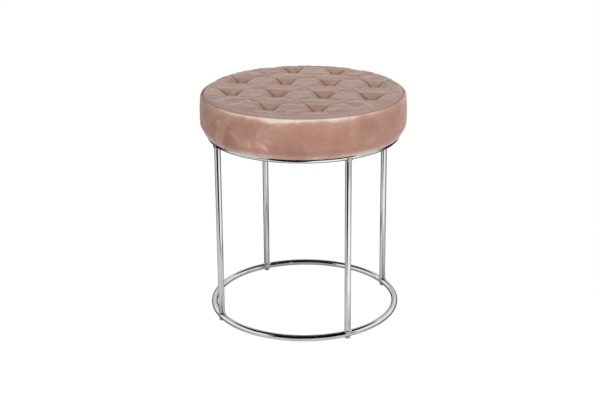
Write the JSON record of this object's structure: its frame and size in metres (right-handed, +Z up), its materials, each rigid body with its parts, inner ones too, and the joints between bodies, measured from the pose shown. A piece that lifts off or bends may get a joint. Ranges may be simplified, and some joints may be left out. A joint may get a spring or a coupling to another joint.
{
  "type": "round stool",
  "caption": "Round upholstered stool with a diamond-tufted velvet seat on a frame of chromed tube: one ring under the seat, one ring at the floor and straight legs between them.",
  "frame": {"origin": "on the floor under the middle of the stool", "axes": "+Z up, -Y towards the front, which lies between two legs, and +X to the right seen from the front"},
  "size_m": [0.4002, 0.4002, 0.4525],
  "materials": {
    "chrome": "bright chrome plating on steel tube",
    "glide": "moulded grey polyethylene",
    "plywood": "sawn plywood",
    "foam": "open-celled seat foam",
    "wadding": "soft polyester wadding",
    "velvet": "dusty rose velvet with a short brushed pile",
    "twine": "waxed polyester twine",
    "anchor": "moulded nylon",
    "zinc_plated_steel": "bright zinc plating",
    "dust_cover": "black spunbonded cloth"
  },
  "bodies": {
    "root": {"lower_ring": "chrome", "upper_ring": "chrome", "leg_front_left": "chrome", "leg_front_right": "chrome", "leg_back_left": "chrome", "leg_back_right": "chrome", "lower_welds": "chrome", "upper_welds": "chrome", "mounting_tabs": "chrome", "tab_welds": "chrome", "foot_glide_front_left": "glide", "foot_glide_front_right": "glide", "foot_glide_back_left": "glide", "foot_glide_back_right": "glide", "seat_board": "plywood", "seat_foam": "foam", "side_wadding": "wadding", "side_band": "velvet", "tufted_top": "velvet", "tuft_buttons": "velvet", "tuft_twines": "twine", "tuft_anchors": "anchor", "tee_nuts": "zinc_plated_steel", "seat_screws": "zinc_plated_steel", "screw_washers": "zinc_plated_steel", "dust_cover": "dust_cover"}
  },
  "joints": []
}
